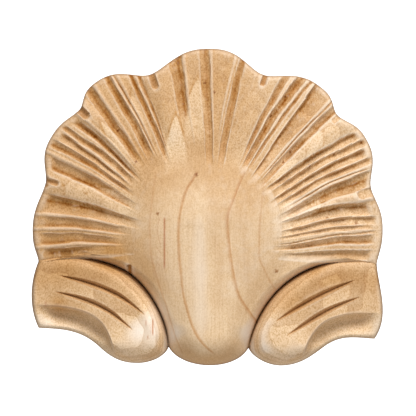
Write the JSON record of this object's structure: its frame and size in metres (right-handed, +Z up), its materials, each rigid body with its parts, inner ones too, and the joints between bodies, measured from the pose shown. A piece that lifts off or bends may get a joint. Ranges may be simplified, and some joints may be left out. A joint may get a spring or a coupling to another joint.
{
  "type": "carved shell ornament",
  "caption": "Carved wooden shell onlay: fluted lobes fan out from a plump tongue, with a curled leaf at each side below, on a flat back for fixing to furniture or a wall.",
  "frame": {"origin": "middle of the flat back, which is glued or pinned to what carries the ornament", "axes": "+Z up, towards the top lobe; +X to the viewer's right; the carving faces -Y and the back faces +Y"},
  "size_m": [0.1097, 0.019, 0.099],
  "materials": {
    "wood": "satin, sealed pale hardwood"
  },
  "bodies": {
    "root": {"carved_shell": "wood"}
  },
  "joints": []
}
